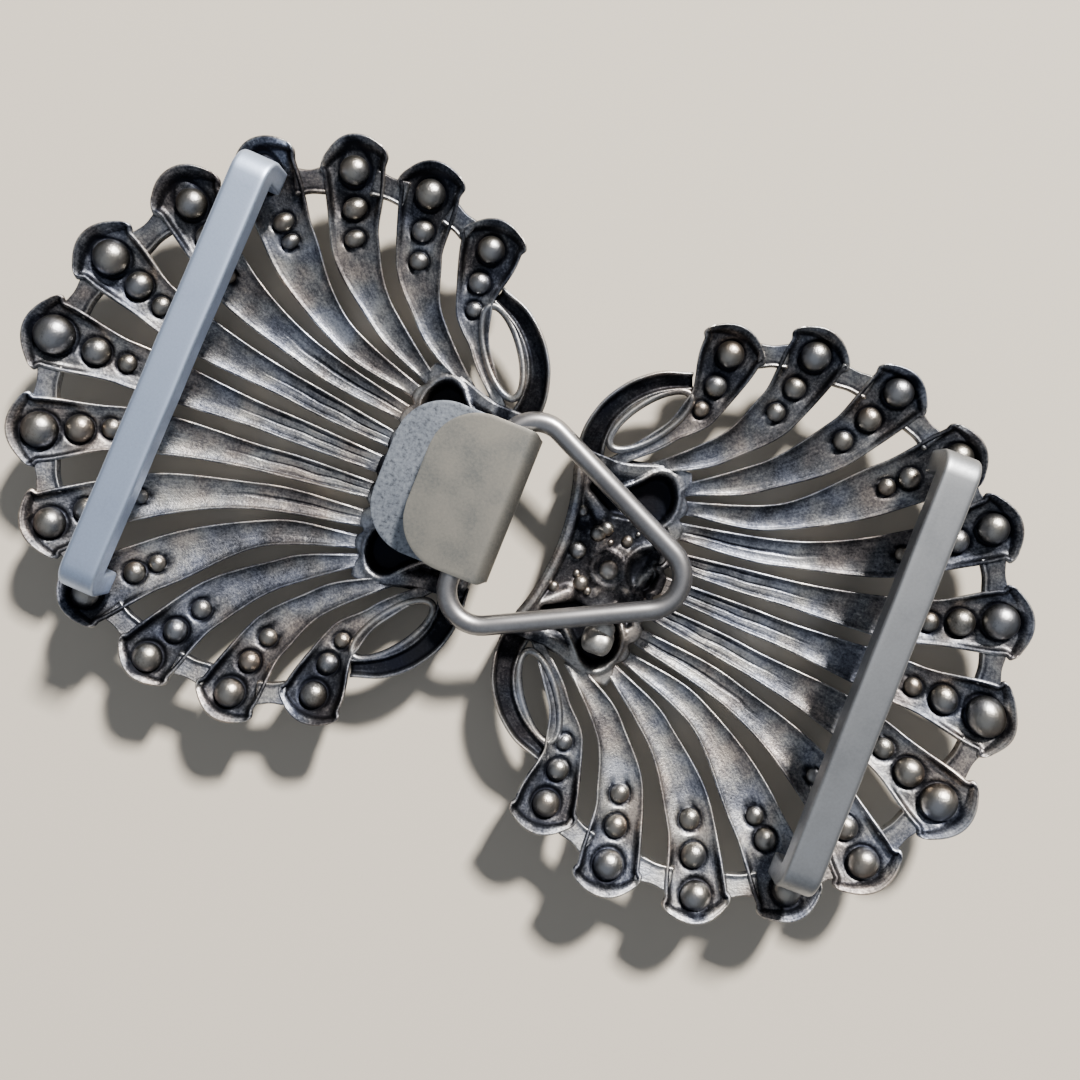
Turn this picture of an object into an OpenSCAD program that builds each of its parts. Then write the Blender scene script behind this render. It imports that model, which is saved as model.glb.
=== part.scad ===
// Apron clasp of two cast fan halves, fastened, lying on its fronts with its back up

/* [Fan] */
// Distance from the middle of the clasp to the middle of each fan
fan_x = 17.7; // [17.5:0.1:19]
// Sideways offset of each fan from the long axis
fan_offset = 0.3; // [0:0.1:0.8]
// Radius of the fan at the tips of its petals
fan_r = 22.4; // [22:0.1:23]
// Height of the petals' floor at the middle of the dish
dish_low = 1.3; // [1.2:0.05:1.6]
// Height of the petals' floor at the tips
dish_rim = 5.2; // [4.5:0.1:6]
// Thickness of the metal under a petal's floor
wall = 1.2; // [1:0.05:1.25]
// Height of a petal's raised edges above its floor
edge_h = 0.65; // [0.4:0.05:0.8]

/* [Strap bars] */
// Length of a bar over its bent ends
bar_len = 34.2; // [32:0.1:34.4]
// Width of a bar
bar_w = 2.7; // [2.2:0.1:3]
// Thickness of a bar
bar_t = 1.8; // [1.5:0.1:2]
// Height of a bar's flat top
bar_top = 9.8; // [9.6:0.1:11]
// Inner radius of a bar's bends
bar_bend = 0.1; // [0.1:0.1:0.8]
// Distance of the hook half's bar from the middle of its fan
hook_bar_x = 9.9; // [9.6:0.1:10.3]
// Distance of the ring half's bar from the middle of its fan
ring_bar_x = 10.4; // [9.8:0.1:10.5]
// Sideways offset of the hook half's bar from the middle of its fan
hook_bar_y = 0.5; // [0:0.1:0.6]
// Lean of the hook half's bar, in degrees
hook_bar_lean = -2; // [-2.4:0.1:0]
// Lean of the ring half's bar, in degrees
ring_bar_lean = 1; // [0:0.1:2]

/* [Hook] */
// Width of the hook across the clasp
hook_w = 12.2; // [11:0.1:12.3]
// Thickness of the hook's sheet
hook_t = 0.75; // [0.6:0.05:0.8]
// Space between the hook's two plates
hook_gap = 1.75; // [1.65:0.05:2]
// Underside of the hook's lower plate
hook_z = 3.95; // [3.9:0.05:4.2]
// Outer edge of the fold
hook_fold_x = -0.4; // [-0.8:0.1:-0.4]
// Length of the upper plate from the fold
hook_upper_len = 8.1; // [7:0.1:9]
// Length of the lower plate from the fold
hook_lower_len = 11; // [10:0.1:11.2]
// Radius of the plates' round corners
hook_corner = 3.9; // [3:0.1:4.5]
// Sideways place of the hook's middle
hook_y = 0.8; // [0.5:0.05:0.8]

/* [Ring] */
// Diameter of the ring's wire
wire_d = 1.55; // [1.3:0.05:1.6]
// Place of the ring's straight side between the plates
ring_side_x = -3.5; // [-3.8:0.1:-3.4]
// Corner of the triangle on the ring half, before rounding
ring_apex_x = 16.2; // [15.5:0.1:16.5]
// Upper end of the straight side, before rounding
ring_high_y = 9.3; // [9.3:0.1:9.5]
// Lower end of the straight side, before rounding
ring_low_y = -9.9; // [-10.2:0.1:-9.5]
// Bending radius at the middle of the wire
ring_bend = 2.6; // [2.2:0.1:2.8]

/* [Hidden] */
$fn = 48;
seat_gap = 0.08;

// One row for each petal from the middle one outwards, mirrored for the other side of the fan.
// Columns: inner end x y, lower third x y, small bead x y, big bead x y,
// then the petal's width at the inner end, lower third, small bead, big bead and tip
PETALS = [
    [ -4.2, 0.0,   3.0,  0.0,  15.0,  0.0,  20.4,  0.0,  1.5, 2.0, 3.5, 5.1, 5.6],
    [ -5.2, 2.2,   2.0,  2.9,  14.3,  5.1,  18.9,  7.1,  1.4, 2.0, 3.5, 4.9, 5.3],
    [ -6.2, 4.4,   2.0,  5.8,  12.0, 10.2,  15.6, 13.4,  1.4, 2.1, 3.7, 4.8, 5.2],
    [ -6.6, 6.2,   0.0,  8.0,   7.3, 13.5,  11.1, 17.4,  1.1, 2.0, 3.9, 5.0, 5.2],
    [ -7.2, 7.4,  -2.0, 10.5,   2.8, 15.5,   5.0, 20.2,  1.0, 2.2, 3.6, 4.8, 5.0],
    [ -9.5, 8.4,  -5.4, 11.6,  -2.8, 15.6,  -1.8, 20.4,  1.0, 2.1, 3.5, 4.6, 5.0],
    [-12.6, 7.8,  -9.9, 11.1,  -8.2, 13.7,  -7.8, 18.2,  0.9, 1.7, 2.8, 4.8, 5.1]
];
// Bead diameters of each petal. Columns: big, medium, small, a fourth one further in or 0,
// then the medium bead's place between the small and the big one
BEADS = [
    [3.1, 2.2, 1.5, 0,   0.43],
    [2.8, 2.2, 1.6, 0,   0.45],
    [2.4, 1.9, 1.5, 1.2, 0.45],
    [2.2, 1.7, 1.4, 0,   0.32],
    [2.3, 1.9, 1.6, 0,   0.47],
    [2.3, 1.7, 1.5, 0,   0.46],
    [2.1, 1.7, 1.3, 0,   0.45]
];
// Where a petal's cross sections stand. Columns: span of the path, place in the span,
// lift of the floor to the edge, width as a share, and how far the ends of the section lag
STATIONS = [
    [0, 0.0,  0, 1.0, 0],
    [1, 0.0,  0, 1.0, 0],
    [1, 0.5,  0, 1.0, 0],
    [2, 0.0,  0, 1.0, 0],
    [2, 0.5,  0, 1.0, 0],
    [3, 0.0,  0, 1.0, 0],
    [3, 0.45, 0, 1.0, 0.4],
    [3, 0.65, 1, 1.0, 0.55],
    [3, 1.0,  1, 0.92, 0.9]
];
// Cross section of a petal. Columns: place across from -1 to 1, height as a share of the
// raised edge, and depth as a share of the wall
SECTION = [
    [-1, 1, 0], [-0.81, 1, 0], [-0.49, 0, 0], [0.49, 0, 0], [0.81, 1, 0], [1, 1, 0],
    [0.5, 0, -1], [-0.5, 0, -1]
];
// Outer band beside the last petal. Columns: x, y, width
WING = [
    [-14.4,  6.8, 2.4],
    [-14.9,  8.8, 2.2],
    [-14.8, 10.4, 2.0],
    [-13.9, 12.3, 1.8],
    [-12.2, 14.2, 1.5],
    [ -9.8, 15.4, 1.3]
];
// Beads on the hub. Columns: x, y, diameter
HUB_BEADS = [
    [-10.0, 0, 1.7], [-12.9, 0, 1.35],
    [-11.6, 2.0, 1.5], [-9.5, 2.5, 1.2], [-13.6, 3.1, 0.9],
    [-11.6, -2.0, 1.5], [-9.5, -2.5, 1.2], [-13.6, -3.1, 0.9]
];
// Cross section of the outer band. Columns: place across from 1 outside to -1 inside, height as a
// share of the raised edge, and depth as a share of the wall
WING_SECTION = [[1, 1, 0], [0.7, 1, 0], [0.5, 0.2, 0], [-1, 0.6, 0], [-1, 0, -1], [0.6, 0, -1]];
wing_middle = [-9, 9.5];
wing_wall = 0.8;
// Back of the hub from its hollow edge to its other end. Columns: share of the way, and height
// above the dish
HUB_SECTION = [[0, 0.75], [0.07, 0.75], [0.12, -0.4], [0.5, -0.4], [1, -0.4]];
hub_half = 8.1;
hub_steps = 5;
hub_wall = 1.05;
hub_top = 3.8;
// Hollow edge of the hub: its middle, how far its ends stand back, and where that bow stops
hub_edge_x = -14.6;
hub_edge_bow = 1;
hub_edge_half = 6;
// Other end of the hub: its middle, how far its ends stand back, and the power of that curve
hub_end_x = -3.6;
hub_end_bow = 3.4;
hub_end_power = 1.1;

tip_lag = 0.28;
tip_reach = 2.1;
// A bead is a cut off cone. Its top and shoulder are shares of its diameter
bead_root = 0.4;
bead_sink = 0.1;
bead_top = 0.42;
bead_shoulder = [0.38, 0.28];
bar_petal = 3;
bead_turn = 9.2;
coarse_bead_d = 2.25;
fourth_bead_place = 0.83;

// Links between petals. Their overlap is a share of the petals' width, and their drop and
// thickness are shares of the wall
bridge_r = 19.8;
bridge_w = 1.3;
bridge_lap = 0.72;
bridge_drop = 0.55;
bridge_h = 0.6;

// Recess in the hub, which narrows and rises towards the hollow edge, and the boss round it
recess_x = -8.78;
recess_y = 6.15;
recess_r = 1.75;
recess_h = 4;
recess_tail_x = -13.4;
recess_tail_r = 0.6;
recess_tail_rise = 1.3;
recess_floor = 1;
recess_wall = 0.6;
boss_top = 3.1;
boss_room = [12, 8];
boss_room_from = [-8, -4];

// Solder of the ring: a lug with an arm over the recess, and a post under the wire's other side
solder_sink = 0.2;
lug = [2.1, 1.8];
lug_place = [-8.9, -5.8];
lug_arm = 2.1;
lug_arm_z = 3.7;
post_d = 1.2;
post_place = [11, 2.55];
post_foot = 1.48;
// Bends and straight runs of the wire overlap, and the runs are a little thinner
wire_joint = 0.15;
wire_slack = 0.03;
ring_apex_y = 0.2;
// Pad under the hook's lower plate
pad_d = 2.2;
pad_x = -10;
pad_foot = 1.85;

function dish(p) = dish_low + (dish_rim - dish_low) * (p.x * p.x + p.y * p.y) / (fan_r * fan_r);
function unit(v) = v / norm(v);
function point(row, i) = [row[2 * i], row[2 * i + 1]];

// Path of a petal: its four given points, and its tip where the last line reaches the rim
function reach(p, d, r) = -p * d + sqrt((p * d) * (p * d) - p * p + r * r);
function path(row) =
    let (small = point(row, 2), big = point(row, 3), d = unit(big - small))
    [point(row, 0), point(row, 1), small, big, big + d * min(tip_reach, reach(big, d, fan_r))];
function slope(p, i) =
    i == 0 ? unit(p[1] - p[0]) :
    i == len(p) - 1 ? unit(p[i] - p[i - 1]) :
    let (a = norm(p[i] - p[i - 1]), b = norm(p[i + 1] - p[i]))
    (unit(p[i + 1] - p[i]) * a + unit(p[i] - p[i - 1]) * b) / (a + b);

// Smooth curve through the path, and its direction, at place t of span i
function along(p, i, t) =
    let (d = norm(p[i + 1] - p[i]))
    (2 * t * t * t - 3 * t * t + 1) * p[i] + (t * t * t - 2 * t * t + t) * d * slope(p, i)
    + (3 * t * t - 2 * t * t * t) * p[i + 1] + (t * t * t - t * t) * d * slope(p, i + 1);
function heading(p, i, t) =
    let (d = norm(p[i + 1] - p[i]))
    unit((6 * t * t - 6 * t) * (p[i] - p[i + 1]) + (3 * t * t - 4 * t + 1) * d * slope(p, i)
    + (3 * t * t - 2 * t) * d * slope(p, i + 1));

function petal_ring(row, s) =
    let (
        p = path(row),
        q = along(p, s[0], s[1]),
        d = heading(p, s[0], s[1]),
        n = [-d.y, d.x],
        w = (row[8 + s[0]] * (1 - s[1]) + row[9 + s[0]] * s[1]) * s[3]
    )
    [for (c = SECTION)
        let (e = q + n * c[0] * w / 2 - d * tip_lag * s[4] * w * c[0] * c[0])
        [e.x, e.y, dish(e) + (c[2] < 0 ? wall * c[2] : edge_h * max(c[1], s[2]))]
    ];

// Solid through a list of rings that all have the same number of points
module loft(rings) {
    n = len(rings[0]);
    m = len(rings);
    centres = [for (r = [rings[0], rings[m - 1]]) [for (j = [0:n - 1]) 1 / n] * r];
    sides = [for (i = [0:m - 2], j = [0:n - 1])
        [i * n + j, i * n + (j + 1) % n, (i + 1) * n + (j + 1) % n, (i + 1) * n + j]];
    ends = [for (j = [0:n - 1], e = [0, 1]) e == 0
        ? [m * n, (j + 1) % n, j]
        : [m * n + 1, (m - 1) * n + j, (m - 1) * n + (j + 1) % n]];
    polyhedron(concat([for (r = rings, p = r) p], centres), concat(sides, ends), convexity = 4);
}

module petal(row) {
    loft([for (s = STATIONS) petal_ring(row, s)]);
}

module bead(p, d) {
    translate([p.x, p.y, dish(p)]) rotate(bead_turn)
        rotate_extrude($fn = d < coarse_bead_d ? 6 : 8)
            polygon([[0, -bead_root], [d / 2, -bead_sink], bead_shoulder * d, [0, bead_top * d]]);
}

module petal_beads(k) {
    p = path(PETALS[k]);
    d = BEADS[k];
    bead(p[3], d[0]);
    bead(along(p, 2, d[4]), d[1]);
    bead(p[2], d[2]);
    if (d[3] > 0) bead(along(p, 1, fourth_bead_place), d[3]);
}

// Flat link between the ends of two neighbouring petals
module bridge(k) {
    a = path(PETALS[k])[3];
    b = path(PETALS[k + 1])[3];
    mid = unit(a + b) * bridge_r;
    wide = (PETALS[k][11] + PETALS[k + 1][11]) / 2;
    side = unit(b - a) * (norm(b - a) - bridge_lap * wide - bridge_w) / 2;
    hull() {
        for (s = [-1, 1])
            translate([mid.x + s * side.x, mid.y + s * side.y, dish(mid) - wall * bridge_drop])
                rotate(atan2(side.y, side.x)) cylinder(d = bridge_w, h = wall * bridge_h, $fn = 6);
    }
}

// Hub between the inner ends of the petals and the hollow edge that faces the other half
function hub_edge(y) = hub_edge_x - hub_edge_bow * pow(min(abs(y), hub_edge_half) / hub_edge_half, 2);
function hub_end(y) = hub_end_x - hub_end_bow * pow(abs(y) / hub_half, hub_end_power);
function hub_ring(y) =
    let (a = hub_edge(y), b = hub_end(y))
    concat(
        [for (c = HUB_SECTION)
            let (x = a + (b - a) * c[0]) [x, y, min(hub_top, dish([x, y]) + c[1])]],
        [for (c = [1, 0]) let (x = a + (b - a) * c) [x, y, dish([x, y]) - hub_wall]]
    );

module recess(grow, z) {
    hull() {
        translate([recess_x, recess_y, z]) cylinder(r = recess_r + grow, h = recess_h, $fn = 12);
        translate([recess_tail_x, recess_y, z + recess_tail_rise])
            cylinder(r = recess_tail_r + grow, h = recess_h - recess_tail_rise, $fn = 12);
    }
}

module half_of_fan() {
    for (k = [1:len(PETALS) - 1]) {
        petal(PETALS[k]);
        petal_beads(k);
    }
    for (k = [0:len(PETALS) - 2]) bridge(k);
    loft([for (i = [len(WING) - 1:-1:0])
        let (w = WING[i], at = [w[0], w[1]], n = unit(at - wing_middle))
        [for (c = WING_SECTION)
            let (e = at + n * c[0] * w[2] / 2, floor_z = i == 0 ? min(dish(e), hub_top - edge_h) : dish(e))
            [e.x, e.y, floor_z + edge_h * c[1] + wall * c[2] * wing_wall]]]);
}

module casting() {
    difference() {
        union() {
            petal(PETALS[0]);
            petal_beads(0);
            half_of_fan();
            mirror([0, 1, 0]) half_of_fan();
            loft([for (i = [hub_steps:-1:-hub_steps]) hub_ring(i * hub_half / hub_steps)]);
            for (s = [0, 1]) mirror([0, s, 0]) intersection() {
                recess(recess_wall, 0);
                translate([recess_x + boss_room_from.x, recess_y + boss_room_from.y, 0])
                    cube([boss_room.x, boss_room.y, boss_top]);
            }
            for (b = HUB_BEADS) bead([b[0], b[1]], b[2]);
        }
        for (s = [0, 1]) mirror([0, s, 0]) recess(0, recess_floor);
    }
}

// One flat plate of the hook, from the fold's axis to its rounded free end
module plate(len, z) {
    r = hook_corner;
    x0 = hook_fold_x - len;
    x1 = hook_fold_x - hook_t - hook_gap / 2;
    translate([0, hook_y, z]) linear_extrude(hook_t) {
        translate([x0 + r, -hook_w / 2]) square([x1 - x0 - r, hook_w]);
        translate([x0, -hook_w / 2 + r]) square([r, hook_w - 2 * r]);
        for (s = [-1, 1]) translate([x0 + r, s * (hook_w / 2 - r)]) circle(r);
    }
}

// Bend of the wire at corner b, and its straight run towards corner c
module wire(a, b, c, z) {
    u = unit(a - b);
    v = unit(c - b);
    half = acos(u * v) / 2;
    m = unit(u + v);
    set = ring_bend / tan(half);
    next = ring_bend / tan(acos(-v * unit(a - c)) / 2);
    run = norm(c - b) - set - next;
    mid = b + m * ring_bend / sin(half);
    turn = 180 - 2 * half;
    translate([mid.x, mid.y, z]) rotate([0, 0, atan2(-m.y, -m.x) - turn / 2])
        rotate_extrude(angle = turn) translate([ring_bend, 0]) circle(d = wire_d);
    translate([b.x + v.x * set, b.y + v.y * set, z])
        rotate([0, 90, atan2(v.y, v.x)]) translate([0, 0, -wire_joint])
            cylinder(d = wire_d - wire_slack, h = run + 2 * wire_joint);
}

// Strap bar that stands over the big beads of one petal on each side of the fan
module bar(x, lean) {
    half = bar_len / 2;
    outer = bar_bend + bar_t;
    foot = dish([x + bar_w / 2 + half * sin(abs(lean)), half]) + bead_top * BEADS[bar_petal][0] + seat_gap;
    rotate([0, 0, lean]) translate([-bar_w / 2, 0, 0]) {
        translate([0, -half + outer, bar_top - bar_t]) cube([bar_w, bar_len - 2 * outer, bar_t]);
        for (s = [0, 1]) mirror([0, s, 0]) {
            translate([0, half - bar_t, foot]) cube([bar_w, bar_t, bar_top - outer - foot]);
            translate([0, half - outer, bar_top - outer]) rotate([90, 0, 90])
                rotate_extrude(angle = 90) translate([bar_bend, 0]) square([bar_t, bar_w]);
        }
    }
}

module hook_shell() {
    color("lightslategray") translate([-fan_x, fan_offset, 0]) rotate([0, 0, 180]) casting();
}
module ring_shell() {
    color("slategray") translate([fan_x, -fan_offset, 0]) casting();
}
module hook() {
    r = hook_t + hook_gap / 2;
    color("darkgray") {
        plate(hook_lower_len, hook_z);
        plate(hook_upper_len, hook_z + hook_t + hook_gap);
        translate([pad_x, hook_y, pad_foot]) cylinder(d = pad_d, h = hook_z + hook_t / 2 - pad_foot);
        translate([hook_fold_x - r, hook_y + hook_w / 2, hook_z + r]) rotate([90, 0, 0])
            rotate(-90) rotate_extrude(angle = 180) translate([hook_gap / 2, 0]) square([hook_t, hook_w]);
    }
}
module ring() {
    corners = [[ring_apex_x, ring_apex_y], [ring_side_x, ring_high_y], [ring_side_x, ring_low_y]];
    z = hook_z + hook_t + hook_gap / 2;
    top = z - solder_sink;
    foot = recess_floor + seat_gap;
    at = [fan_x, -fan_offset] + lug_place;
    color("silver") {
        for (i = [0:2]) wire(corners[i], corners[(i + 1) % 3], corners[(i + 2) % 3], z);
        translate([at.x - lug.x / 2, at.y - lug.y / 2, foot]) cube([lug.x, lug.y, top - foot]);
        translate([at.x - lug.x / 2, at.y, lug_arm_z]) cube([lug.x, lug_arm, top - lug_arm_z]);
        translate([post_place.x, post_place.y, post_foot]) cylinder(d = post_d, h = top - post_foot);
    }
}
module hook_side_bar() {
    color("lightsteelblue") translate([-fan_x - hook_bar_x, fan_offset + hook_bar_y, 0])
        bar(hook_bar_x, hook_bar_lean);
}
module ring_side_bar() {
    color("lightgray") translate([fan_x + ring_bar_x, -fan_offset, 0]) bar(ring_bar_x, ring_bar_lean);
}

hook_shell();
ring_shell();
hook();
ring();
hook_side_bar();
ring_side_bar();
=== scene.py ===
# %% [markdown]
# An apron clasp, fastened, lying on its two cast fronts with its back up. The CAD model holds the
# solid shapes. Here each of its six pieces gets the finer shape and the finish that a jeweller
# would see: two silvered and blackened castings, a folded plate hook, a ring of round wire, and
# two strap bars.

# %% Load the frame
import math
import bpy
import bmesh
from mathutils import Matrix, Vector, noise


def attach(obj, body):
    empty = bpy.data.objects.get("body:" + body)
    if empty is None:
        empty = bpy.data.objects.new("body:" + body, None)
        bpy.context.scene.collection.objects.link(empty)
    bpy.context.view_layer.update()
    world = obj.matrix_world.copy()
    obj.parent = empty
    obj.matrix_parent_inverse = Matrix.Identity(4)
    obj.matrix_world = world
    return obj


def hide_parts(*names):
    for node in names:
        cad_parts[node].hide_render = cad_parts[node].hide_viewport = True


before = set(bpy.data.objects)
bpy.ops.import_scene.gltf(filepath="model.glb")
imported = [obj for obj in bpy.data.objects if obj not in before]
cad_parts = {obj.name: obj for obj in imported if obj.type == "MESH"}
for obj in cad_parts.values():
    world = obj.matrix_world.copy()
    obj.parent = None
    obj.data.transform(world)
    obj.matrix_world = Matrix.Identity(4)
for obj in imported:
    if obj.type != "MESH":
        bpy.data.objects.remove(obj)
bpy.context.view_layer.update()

MM = 0.001

# %% [markdown]
# The camera comes first. The photographer stood almost straight above the clasp, turned so that
# its long axis runs down to the right, with a phone lens close to the work.

# %% The camera
EYE = Vector((1.06, 2.5, 88.5)) * MM
AIM = Vector((1.76, -0.43, 5.5)) * MM
IMAGE_RIGHT = Vector((0.928, 0.372, 0))
SENSOR = 36
LENS_PIXELS, FRAME_PIXELS = 1107, 1080
NEAREST, FARTHEST = 0.004, 5

camera = bpy.data.objects.new("camera", bpy.data.cameras.new("camera"))
bpy.context.collection.objects.link(camera)
ahead = (AIM - EYE).normalized()
right = (IMAGE_RIGHT - ahead * IMAGE_RIGHT.dot(ahead)).normalized()
up = right.cross(ahead)
turn = Matrix((right, up, -ahead)).transposed()
camera.matrix_world = Matrix.Translation(EYE) @ turn.to_4x4()
camera.data.sensor_width = SENSOR
camera.data.lens = SENSOR * LENS_PIXELS / FRAME_PIXELS
camera.data.clip_start = NEAREST
camera.data.clip_end = FARTHEST
bpy.context.scene.camera = camera
print("camera height in mm:", round(EYE.z / MM, 1))

# %% [markdown]
# A casting is described by its plan: where each petal runs, how wide it is, and how the back is
# dished. The same few numbers as in the CAD model are used, so the fine shape lies on the solid.
# Petals are listed from the middle one outwards, and the other side of the fan is their mirror
# image.

# %% The plan of the fan
# Millimetres from here on. The centre of each fan along and across the clasp, and its radius
FAN_X, FAN_SIDE, FAN_R = 17.7, 0.3, 22.4
# Height of the back in the middle and at the rim, the metal below it and the raised edge above it
DISH_LOW, DISH_RIM, WALL, EDGE = 1.3, 5.2, 1.2, 0.65
# Columns: inner end, lower third, small bead, big bead, and widths at each and at the tip
PETALS = [
    ((-4.2, 0.0), (3.0, 0.0), (15.0, 0.0), (20.4, 0.0), (1.5, 2.0, 3.5, 5.2, 6.1)),
    ((-5.2, 2.2), (2.0, 2.9), (14.3, 5.1), (18.9, 7.1), (1.4, 2.0, 3.5, 5.0, 5.8)),
    ((-6.2, 4.4), (2.0, 5.8), (12.0, 10.2), (15.6, 13.4), (1.4, 2.1, 3.7, 4.9, 5.7)),
    ((-6.6, 6.2), (0.0, 8.0), (7.3, 13.5), (11.1, 17.4), (1.1, 2.0, 3.9, 4.9, 5.3)),
    ((-7.2, 7.4), (-2.0, 10.5), (2.8, 15.5), (5.0, 20.2), (1.0, 2.2, 3.6, 4.7, 5.2)),
    ((-9.5, 8.4), (-5.4, 11.6), (-2.8, 15.6), (-1.8, 20.4), (1.0, 2.1, 3.5, 4.6, 5.2)),
    ((-12.6, 7.8), (-9.8, 11.0), (-8.2, 13.7), (-7.8, 18.2), (0.9, 1.5, 2.8, 4.7, 5.3)),
]
# Bead diameters: big, medium, small, fourth, then the medium bead's place
BEADS = [
    (3.1, 2.2, 1.5, 0, 0.43),
    (2.8, 2.2, 1.6, 0, 0.45),
    (2.4, 1.9, 1.5, 1.2, 0.45),
    (2.2, 1.7, 1.4, 0, 0.32),
    (2.3, 1.9, 1.6, 0, 0.47),
    (2.3, 1.7, 1.5, 0, 0.46),
    (2.1, 1.7, 1.3, 0, 0.45),
]


def dish(x, y):
    """Height of the dished back above the surface that the fronts lie on."""
    return DISH_LOW + (DISH_RIM - DISH_LOW) * (x * x + y * y) / FAN_R ** 2


def smooth(a, b, x):
    """0 at a, 1 at b, with a soft start and end."""
    t = min(1.0, max(0.0, (x - a) / (b - a)))
    return t * t * (3 - 2 * t)


def slopes(points):
    """Directions of a smooth curve at its points, the nearer neighbour counting less."""
    out = []
    for i, p in enumerate(points):
        before = points[i] - points[i - 1] if i else None
        after = points[i + 1] - p if i + 1 < len(points) else None
        if before is None or after is None:
            out.append((after or before).normalized())
        else:
            mixed = after.normalized() * before.length + before.normalized() * after.length
            out.append(mixed / (before.length + after.length))
    return out


def along(points, i, t):
    """The point at place t of span i."""
    d = slopes(points)
    a, b, length = points[i], points[i + 1], (points[i + 1] - points[i]).length
    return ((2 * t ** 3 - 3 * t * t + 1) * a + (t ** 3 - 2 * t * t + t) * length * d[i]
            + (3 * t * t - 2 * t ** 3) * b + (t ** 3 - t * t) * length * d[i + 1])


# How far each petal's root reaches into the hub, and how far a tip stands past its big bead
ROOT_REACH = [1.6, 1.4, 0.5, 0.1, 0.3, 0.7, 0.6]
TIP_REACH = 2.1
# Where the fourth bead lies between the lower third and the small bead
FOURTH_BEAD = 0.83


def petal_points(row):
    """The petal's given points, its root drawn into the hub, and its tip within the fan's rim."""
    p = [Vector(q) for q in row[:4]]
    p[0] -= (p[1] - p[0]).normalized() * ROOT_REACH[PETALS.index(row)]
    d = (p[3] - p[2]).normalized()
    reach = -p[3].dot(d) + math.sqrt(p[3].dot(d) ** 2 - p[3].dot(p[3]) + FAN_R ** 2)
    return p + [p[3] + d * min(TIP_REACH, reach)]


def petal_beads(k):
    """Centre and diameter of each bead on petal k."""
    p, d = petal_points(PETALS[k]), BEADS[k]
    found = [(p[3], d[0]), (along(p, 2, d[4]), d[1]), (p[2], d[2])]
    return found + ([(along(p, 1, FOURTH_BEAD), d[3])] if d[3] else [])


print("petals on a fan:", 2 * len(PETALS) - 1)

# %% [markdown]
# Every long member of the casting, petal or band, is a closed skin: a flat grid is rolled round the
# member so that its columns go once round the cross section and its rows follow the path. The
# grid's columns crowd together near the raised edges, where the shape turns quickly.

# %% A member of the casting
CORNER_ROUND = 0.35
# Columns near an edge, as distances from it, drawn closer where the member's half width is less
EDGE_STEPS = [0, 0.06, 0.12, 0.19, 0.27, 0.37, 0.5, 0.66, 0.86]
EDGE_HALF = 1.3
MIDDLE_STEPS = 9
UNDER_STEPS = 7
# Pieces that a span of the path is cut into, and the distance at which two points are one
SPAN_STEPS = 24
SAME_POINT = 1e-5


def across(width):
    """Places across the back from one edge to the other, and then back along the underside.
    Each is the way off the middle, the distance from the edge and how far under it lies."""
    half = width / 2
    steps = [e * min(1, half / EDGE_HALF) for e in EDGE_STEPS]
    rest = half - steps[-1]
    side = steps + [steps[-1] + rest * k / MIDDLE_STEPS for k in range(1, MIDDLE_STEPS + 1)]
    top = [(half - e, e, 0) for e in side] + [(e - half, e, 0) for e in reversed(side[:-1])]
    turns = [math.pi * k / (UNDER_STEPS + 1) for k in range(1, UNDER_STEPS + 1)]
    under = [(-half * math.cos(t), 0, math.sin(t)) for t in turns]
    return top + under + top[:1]


def rows_along(points, widths, steps, crowd):
    """Point, direction, width and distances from the start and the end, row by row.
    steps holds pairs of how far from the end a spacing begins and the spacing, and crowd holds
    the last rows' distances from the end."""
    fine = []
    for i in range(len(points) - 1):
        for k in range(SPAN_STEPS):
            width = widths[i] + (widths[i + 1] - widths[i]) * smooth(0, SPAN_STEPS, k)
            fine.append((along(points, i, k / SPAN_STEPS), width))
    fine.append((points[-1], widths[-1]))
    run = [0]
    for a, b in zip(fine, fine[1:]):
        run.append(run[-1] + (b[0] - a[0]).length)
    total = run[-1]
    places = [0]
    stops = [total - start for start, step in steps[1:]] + [total - crowd[-1]]
    for (_, step), stop in zip(steps, stops):
        count = max(1, round((stop - places[-1]) / step))
        places += [places[-1] + (stop - places[-1]) * k / count for k in range(1, count + 1)]
    places += [total - e for e in reversed(crowd[:-1])]
    out = []
    hair = 1e-9
    for s in places:
        i = max(1, next((n for n, r in enumerate(run) if r >= s - hair), len(run) - 1))
        t = (s - run[i - 1]) / (run[i] - run[i - 1])
        q = fine[i - 1][0].lerp(fine[i][0], t)
        d = (fine[i][0] - fine[i - 1][0]).normalized()
        out.append((q, d, fine[i - 1][1] + (fine[i][1] - fine[i - 1][1]) * t, s, total - s))
    return out


def open_edges(verts):
    """The open edges of a newly rolled skin, each once."""
    found = (e for v in verts if v.is_valid for e in v.link_edges if e.is_boundary)
    return list(dict.fromkeys(found))


def corner(end):
    """How far a round corner stands back from the edge, near the end of a petal."""
    left = max(0, CORNER_ROUND - end)
    return CORNER_ROUND - math.sqrt(CORNER_ROUND ** 2 - left ** 2)


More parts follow.
